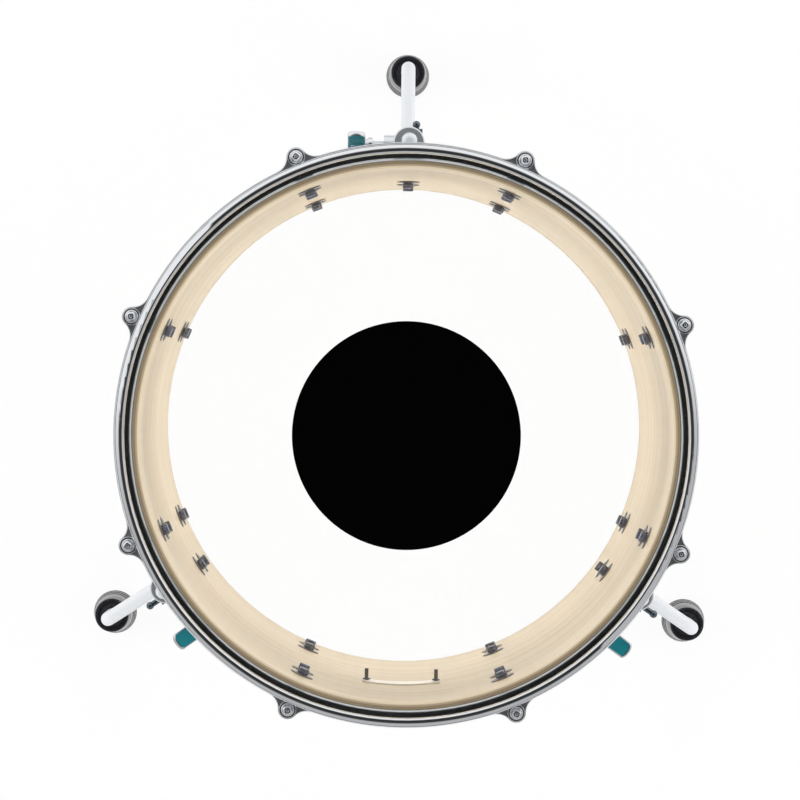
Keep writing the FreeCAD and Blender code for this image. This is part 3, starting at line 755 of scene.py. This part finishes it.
def select_parts(piece, kind, wanted):
    """Selects the points or edges of a piece whose places pass the test, in edit mode."""
    take(piece)
    bpy.ops.object.mode_set(mode="EDIT")
    bpy.ops.mesh.select_mode(type=kind)
    bpy.ops.mesh.select_all(action="DESELECT")
    bpy.ops.object.mode_set(mode="OBJECT")
    points = piece.data.vertices
    if kind == "VERT":
        for point in points:
            point.select = wanted(point.co)
    else:
        for edge in piece.data.edges:
            edge.select = wanted(*(points[end].co for end in edge.vertices))
    bpy.ops.object.mode_set(mode="EDIT")


def open_mesh():
    """Enters edit mode with all of the active piece selected."""
    bpy.ops.object.mode_set(mode="EDIT")
    bpy.ops.mesh.select_all(action="SELECT")


def close_mesh():
    """Merges doubles, turns all faces outwards and leaves edit mode."""
    bpy.ops.mesh.select_all(action="SELECT")
    bpy.ops.mesh.remove_doubles(threshold=MERGE_DISTANCE)
    bpy.ops.mesh.normals_make_consistent(inside=False)
    bpy.ops.object.mode_set(mode="OBJECT")


def draw_rings(rings):
    """Extrudes what is selected through rings of (radius, height)."""
    for (old_radius, old_height), (radius, height) in zip(rings, rings[1:]):
        bpy.ops.mesh.extrude_region_move(TRANSFORM_OT_translate={"value": (0, 0, height - old_height)})
        factor = radius / old_radius
        bpy.ops.transform.resize(value=(factor, factor, 1), center_override=(0, 0, height))


def start_circle(name, ring, sides, fill):
    """A circle about z in edit mode, from which a turned piece is drawn."""
    clear_selection()
    radius, height = ring
    bpy.ops.mesh.primitive_circle_add(vertices=sides, radius=radius, fill_type=fill, location=(0, 0, height))
    piece = added(name)
    open_mesh()
    return piece


def turned_solid(name, rings, sides):
    """A closed solid about z, drawn up from its lowest face."""
    piece = start_circle(name, rings[0], sides, "NGON")
    draw_rings(rings)
    close_mesh()
    return piece


def turned_ring(name, rings, sides):
    """A closed ring about z, whose last ring is bridged to its first."""
    piece = start_circle(name, rings[0], sides, "NOTHING")
    draw_rings(rings)
    bpy.ops.mesh.select_mode(type="EDGE")
    bpy.ops.mesh.select_all(action="DESELECT")
    bpy.ops.mesh.select_non_manifold()
    bpy.ops.mesh.bridge_edge_loops()
    close_mesh()
    return piece


def apply_modifier(piece, kind, **settings):
    take(piece)
    modifier = piece.modifiers.new(kind.capitalize(), kind)
    for name, value in settings.items():
        setattr(modifier, name, value)
    bpy.ops.object.modifier_apply(modifier=modifier.name)


def soften(piece, width, segments=3):
    """Rounds the sharp edges of a piece."""
    apply_modifier(
        piece, "BEVEL", width=width, segments=segments, limit_method="ANGLE", angle_limit=BEVEL_ANGLE
    )
    bpy.ops.object.shade_smooth_by_angle(angle=SMOOTH_ANGLE)


def wound_thread(name, outer, root, pitch, low, high, sides):
    """A V thread about z, wound from one tooth."""
    clear_selection()
    bpy.ops.mesh.primitive_plane_add(size=pitch)
    piece = added(name)
    select_parts(piece, "VERT", lambda place: place.x > 0 and place.y > 0)
    bpy.ops.mesh.delete(type="VERT")
    bpy.ops.object.mode_set(mode="OBJECT")
    crest, *feet = sorted(piece.data.vertices, key=lambda vertex: abs(vertex.co.x - vertex.co.y))
    crest.co = (outer, 0, low + pitch / 2)
    for foot, height in zip(feet, (low, low + pitch)):
        foot.co = (root, 0, height)
    turns = int((high - low) / pitch)
    apply_modifier(
        piece, "SCREW", axis="Z", angle=math.tau, screw_offset=pitch, iterations=turns, steps=sides,
        render_steps=sides, use_merge_vertices=True, merge_threshold=MERGE_DISTANCE
    )
    open_mesh()
    bpy.ops.mesh.remove_doubles(threshold=MERGE_DISTANCE)
    bpy.ops.mesh.fill_holes(sides=0)
    close_mesh()
    bpy.ops.object.shade_smooth_by_angle(angle=SMOOTH_ANGLE)
    return piece


def joined(name, pieces):
    take(pieces[0])
    for piece in pieces[1:]:
        piece.select_set(True)
    bpy.ops.object.join()
    pieces[0].name = name
    return pieces[0]


def copied(piece, name, matrix):
    """A copy with its own mesh, and its place in that mesh."""
    copy = piece.copy()
    copy.data = piece.data.copy()
    copy.name = name
    bpy.context.collection.objects.link(copy)
    copy.data.transform(matrix)
    return copy


def dress(piece, slot, body, *nodes, look=None):
    """Gives a finished piece its finish and its body, in place of CAD nodes."""
    piece.data.materials.clear()
    piece.data.materials.append(finish_of(look or slot))
    piece.data.name = piece.name
    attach(piece, body)
    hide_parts(*nodes)


def discard(piece):
    bpy.data.meshes.remove(piece.data)


def middle_of(node):
    low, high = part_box(node)
    return (low + high) / 2


def loose_parts(node):
    """The points of each separate solid in a CAD node."""
    copy = copied(NODES[node], "loose", Matrix())
    take(copy)
    open_mesh()
    bpy.ops.mesh.remove_doubles(threshold=MERGE_DISTANCE)
    bpy.ops.mesh.separate(type="LOOSE")
    bpy.ops.object.mode_set(mode="OBJECT")
    parts = list(bpy.context.selected_objects)
    places = [[vertex.co.copy() for vertex in part.data.vertices] for part in parts]
    for part in parts:
        discard(part)
    return places


def axes_matrix(place, forward, up):
    """Moves a piece modelled along z at the origin: z to forward, and x as near to up as can be."""
    z_axis = forward.normalized()
    y_axis = z_axis.cross(up).normalized()
    x_axis = y_axis.cross(z_axis)
    return Matrix.Translation(place) @ Matrix((x_axis, y_axis, z_axis)).transposed().to_4x4()


# Tension rods and their washers


def square_head(sizes, low):
    """The square head of a rod: rounded corners, a bevelled top and a centre mark."""
    clear_selection()
    width, height = sizes.square, sizes.square_height
    bpy.ops.mesh.primitive_cube_add(size=1, location=(0, 0, low + height / 2), scale=(width, width, height))
    head = added("Rod head")
    select_parts(head, "EDGE", lambda a, b: abs(a.z - b.z) > height / 2)
    bpy.ops.mesh.bevel(offset=sizes.square_corner, segments=4, affect="EDGES")
    top = low + height - MERGE_DISTANCE
    select_parts(head, "EDGE", lambda a, b: a.z > top and b.z > top)
    bpy.ops.mesh.bevel(offset=sizes.square_bevel, segments=1, affect="EDGES")
    close_mesh()
    depth = sizes.dimple_depth
    mark = turned_solid(
        "Rod mark",
        [
            (sizes.dimple_radius / 4, low + height - depth),
            (sizes.dimple_radius, low + height),
            (sizes.dimple_radius, low + height + depth),
        ],
        sizes.sides,
    )
    apply_modifier(head, "BOOLEAN", object=mark, operation="DIFFERENCE", solver="EXACT")
    discard(mark)
    take(head)
    bpy.ops.object.shade_smooth_by_angle(angle=SMOOTH_ANGLE)
    return head


def model_rod(sizes, total):
    """A tension rod that stands on its tip at the origin."""
    sides = sizes.sides
    root = sizes.radius - sizes.thread_depth
    seat = total - sizes.square_height - sizes.flange_height
    pitch = sizes.pitch
    lap, tip_share = 2 * pitch, 0.7
    wound = wound_thread("Rod thread", sizes.radius, root, pitch, pitch, sizes.thread_length, sides)
    tip = turned_solid("Rod tip", [(root * tip_share, 0), (root, pitch), (root, 2 * lap)], sides)
    plain = (root + sizes.radius) / 2
    shank = turned_solid(
        "Rod shank",
        [
            (root, sizes.thread_length - 2 * lap),
            (root, sizes.thread_length - lap),
            (plain, sizes.thread_length),
            (plain, seat + sizes.flange_height / 2),
        ],
        sides,
    )
    soften(shank, sizes.thread_depth / 4)
    flange = turned_solid(
        "Rod flange",
        [
            (sizes.flange_radius, seat),
            (sizes.flange_radius, seat + sizes.flange_rim),
            (sizes.square / 2, seat + sizes.flange_height),
        ],
        sides,
    )
    soften(flange, sizes.flange_round)
    head = square_head(sizes, seat + sizes.flange_height - MERGE_DISTANCE)
    return joined("Tension rod", [wound, tip, shank, flange, head])


class TOM_OT_rods(Operator):
    """Model the threaded tension rods of both heads"""

    bl_idname = "tom.rods"
    bl_label = "Tension rods"

    def execute(self, context):
        low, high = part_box("batter_rod_1")
        model = model_rod(context.scene.tom_rods, high.z - low.z)
        for side in SIDES:
            for number in range(1, ROD_COUNT + 1):
                node = f"{side}_rod_{number}"
                low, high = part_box(node)
                centre = middle_of(node)
                tip = low.z if side == "batter" else high.z
                flip = Matrix() if side == "batter" else Matrix.Rotation(math.pi, 4, "X")
                turn = Matrix.Rotation(number * GOLDEN_TURN, 4, "Z")
                place = Matrix.Translation((centre.x, centre.y, tip))
                rod = copied(model, f"{side}_tension_rod_{number}", place @ flip @ turn)
                dress(rod, "chrome", node, node, look="rod_steel")
        discard(model)
        return {"FINISHED"}


def washer_foot(points):
    """The middle of the lower face of one CAD washer that lies flat."""
    xs, ys, zs = zip(*points)
    return Vector(((min(xs) + max(xs)) / 2, (min(ys) + max(ys)) / 2, min(zs)))


def model_rod_washer(sizes, points):
    """A rounded washer that lies on the origin, as large as one CAD washer."""
    foot = washer_foot(points)
    reaches = [(point - foot).to_2d().length for point in points]
    inner, outer = min(reaches), max(reaches)
    height = max(point.z for point in points) - foot.z
    ring = turned_ring("Rod washer", [(inner, 0), (outer, 0), (outer, height), (inner, height)], sizes.sides)
    soften(ring, sizes.washer_round)
    return ring


class TOM_OT_rod_washers(Operator):
    """Model the rounded washers under the rod heads"""

    bl_idname = "tom.rod_washers"
    bl_label = "Rod washers"

    def execute(self, context):
        nodes = {side: f"{side}_rod_washers" for side in SIDES}
        places = {side: loose_parts(node) for side, node in nodes.items()}
        model = model_rod_washer(context.scene.tom_rods, places["batter"][0])
        for side, node in nodes.items():
            rings = [
                copied(model, f"ring_{number}", Matrix.Translation(washer_foot(points)))
                for number, points in enumerate(places[side])
            ]
            dress(joined(f"{side}_rod_cup_washers", rings), "chrome", f"{side}_head", node)
        discard(model)
        return {"FINISHED"}


# Screws through the shell


def screw_seats():
    """Where each shell screw sits: the inner face of its washer, and the way out of the drum."""
    seats = []
    for points in loose_parts("shell_screw_washers"):
        centre = sum(points, Vector()) / len(points)
        out = Vector((centre.x, centre.y, 0)).normalized()
        depths = [point.dot(out) for point in points]
        radius = max(abs(point.z - centre.z) for point in points)
        seat = out * min(depths) + UP * centre.z
        seats.append((seat, out, radius, max(depths) - min(depths)))
    return seats


def model_hex_screw(sizes):
    """A hex screw with its seat at the origin and its head along +z."""
    clear_selection()
    corners = 6
    reach = sizes.hex_width / 2 / math.cos(math.pi / corners)
    bpy.ops.mesh.primitive_cylinder_add(
        vertices=corners, radius=reach, depth=sizes.head_height, location=(0, 0, sizes.head_height / 2)
    )
    head = added("Hex head")
    soften(head, sizes.head_bevel, segments=2)
    shank = turned_solid(
        "Hex shank", [(sizes.radius, -sizes.shank_length), (sizes.radius, sizes.head_height / 2)], sizes.sides
    )
    return joined("Hex screw", [head, shank])


def model_cup_washer(sizes, radius, thickness):
    """A washer under the origin: a thin rim and a slope up to its flat crown."""
    hole, crown, rim = sizes.washer_hole, sizes.washer_crown, sizes.washer_rim - thickness
    rings = [(hole, -thickness), (radius, -thickness), (radius, rim), (crown, 0), (hole, 0)]
    washer = turned_ring("Washer", rings, sizes.sides)
    soften(washer, sizes.washer_round)
    return washer


class TOM_OT_shell_screws(Operator):
    """Model the hex screws and cup washers inside the shell"""

    bl_idname = "tom.shell_screws"
    bl_label = "Shell screws"

    def execute(self, context):
        sizes = context.scene.tom_screws
        seats = screw_seats()
        screw = model_hex_screw(sizes)
        washer = model_cup_washer(sizes, *seats[0][2:])
        screws, washers = [], []
        for number, (seat, out, _, _) in enumerate(seats):
            place = axes_matrix(seat, -out, UP)
            turn = Matrix.Rotation(number * GOLDEN_TURN, 4, "Z")
            screws.append(copied(screw, f"screw_{number}", place @ turn))
            washers.append(copied(washer, f"washer_{number}", place))
        discard(screw)
        discard(washer)
        dress(joined("shell_hex_screws", screws), "screw_steel", "shell", "shell_screws")
        dress(joined("shell_cup_washers", washers), "washer_steel", "shell", "shell_screw_washers")
        return {"FINISHED"}


# Wing screws


def wing_blade(sizes, root):
    """One blade along +x: a round plate drawn out from the axis, with a blunt end and a soft rim."""
    clear_selection()
    bpy.ops.mesh.primitive_cylinder_add(
        vertices=sizes.sides, radius=sizes.blade_radius, depth=sizes.blade_thickness,
        location=(0, 0, root), rotation=(math.pi / 2, 0, 0)
    )
    blade = added("Wing blade")
    select_parts(blade, "VERT", lambda place: place.x > MERGE_DISTANCE)
    bpy.ops.transform.resize(value=(sizes.blunt_share, 1, 1), center_override=(0, 0, root))
    reach = sizes.blade_span + sizes.blade_radius
    bpy.ops.transform.translate(value=(reach - sizes.blade_radius * sizes.blunt_share, 0, 0))
    bpy.ops.object.mode_set(mode="OBJECT")
    soften(blade, sizes.blade_round, segments=4)
    return blade


def model_wing_screw(sizes):
    """A wing screw along z, with the leg's axis at the origin and its blades along x."""
    root_radius = sizes.shaft - sizes.thread_depth
    hub_high = sizes.hub_low + sizes.hub_length
    thread_high = sizes.hub_low + sizes.pitch
    wound = wound_thread(
        "Wing thread", sizes.shaft, root_radius, sizes.pitch, sizes.tip, thread_high, sizes.sides
    )
    core_high = hub_high - sizes.hub_round
    core = turned_solid("Wing core", [(root_radius, sizes.tip), (root_radius, core_high)], sizes.sides)
    neck = sizes.hub_low + sizes.neck
    waist = sizes.hub_radius - sizes.hub_round
    hub = turned_solid(
        "Wing hub",
        [
            (sizes.hub_radius, sizes.hub_low),
            (sizes.hub_radius, neck - sizes.hub_round),
            (waist, neck),
            (waist, neck + sizes.hub_round),
            (sizes.hub_radius, neck + 2 * sizes.hub_round),
            (sizes.hub_radius, hub_high),
        ],
        sizes.sides,
    )
    soften(hub, sizes.hub_round / 2)
    blade = wing_blade(sizes, sizes.hub_low + sizes.blade_root)
    other = copied(blade, "Other blade", Matrix.Rotation(math.pi, 4, "Z"))
    return joined("Wing screw", [wound, core, hub, blade, other])


class TOM_OT_wing_screws(Operator):
    """Model the wing screws that clamp the legs"""

    bl_idname = "tom.wing_screws"
    bl_label = "Wing screws"

    def execute(self, context):
        model = model_wing_screw(context.scene.tom_wings)
        for number in range(1, LEG_COUNT + 1):
            node = f"wing_screw_{number}"
            pivot = Vector(JOINTS[node + "_turn"]["pos_m"])
            axis = Vector(JOINTS[node + "_turn"]["axis"])
            out = axis if (middle_of(node) - pivot).dot(axis) > 0 else -axis
            offsets = [vertex.co - pivot for vertex in NODES[node].data.vertices]
            spokes = [offset - out * offset.dot(out) for offset in offsets]
            blade = max(spokes, key=lambda spoke: spoke.length)
            screw = copied(model, f"clamp_wing_{number}", axes_matrix(pivot, out, blade))
            dress(screw, "chrome", node, node)
        discard(model)
        return {"FINISHED"}


# Feet


class TOM_OT_feet(Operator):
    """Model the moulded rubber feet"""

    bl_idname = "tom.feet"
    bl_label = "Feet"

    def execute(self, context):
        sizes = context.scene.tom_feet
        low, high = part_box("leg_foot_1")
        reach = (high.x - low.x) / 2
        rings = [(reach * radius, (high.z - low.z) * height) for radius, height in FOOT_PROFILE_SHARES]
        model = turned_solid("Foot", rings, sizes.sides)
        soften(model, sizes.edge)
        for number in range(1, LEG_COUNT + 1):
            node = f"leg_foot_{number}"
            centre = middle_of(node)
            foot = copied(model, f"rubber_foot_{number}", Matrix.Translation((centre.x, centre.y, 0)))
            dress(foot, "foot_rubber", f"leg_{number}", node)
        discard(model)
        return {"FINISHED"}


OPERATORS = (
    TOM_OT_stage,
    TOM_OT_finishes,
    TOM_OT_rods,
    TOM_OT_rod_washers,
    TOM_OT_shell_screws,
    TOM_OT_wing_screws,
    TOM_OT_feet,
)


class TOM_PT_looks(Panel):
    """The drum's settings, and the steps that dress it"""

    bl_idname = "TOM_PT_looks"
    bl_label = "Floor tom"
    bl_space_type = "VIEW_3D"
    bl_region_type = "UI"
    bl_category = "Floor tom"

    def draw(self, context):
        for operator in OPERATORS:
            self.layout.operator(operator.bl_idname)
        for name, group in SETTINGS.items():
            box = self.layout.box()
            box.label(text=name.removeprefix("tom_").capitalize())
            for setting in group.__annotations__:
                box.prop(getattr(context.scene, name), setting)


def register():
    for group in SETTINGS.values():
        bpy.utils.register_class(group)
    for name, group in SETTINGS.items():
        setattr(bpy.types.Scene, name, PointerProperty(type=group))
    for made in (*OPERATORS, TOM_PT_looks):
        bpy.utils.register_class(made)


def unregister():
    for made in (TOM_PT_looks, *reversed(OPERATORS)):
        bpy.utils.unregister_class(made)
    for name, group in SETTINGS.items():
        delattr(bpy.types.Scene, name)
        bpy.utils.unregister_class(group)


def main():
    register()
    for step in OPERATORS:
        group, name = step.bl_idname.split(".")
        getattr(getattr(bpy.ops, group), name)()


if __name__ == "__main__":
    main()
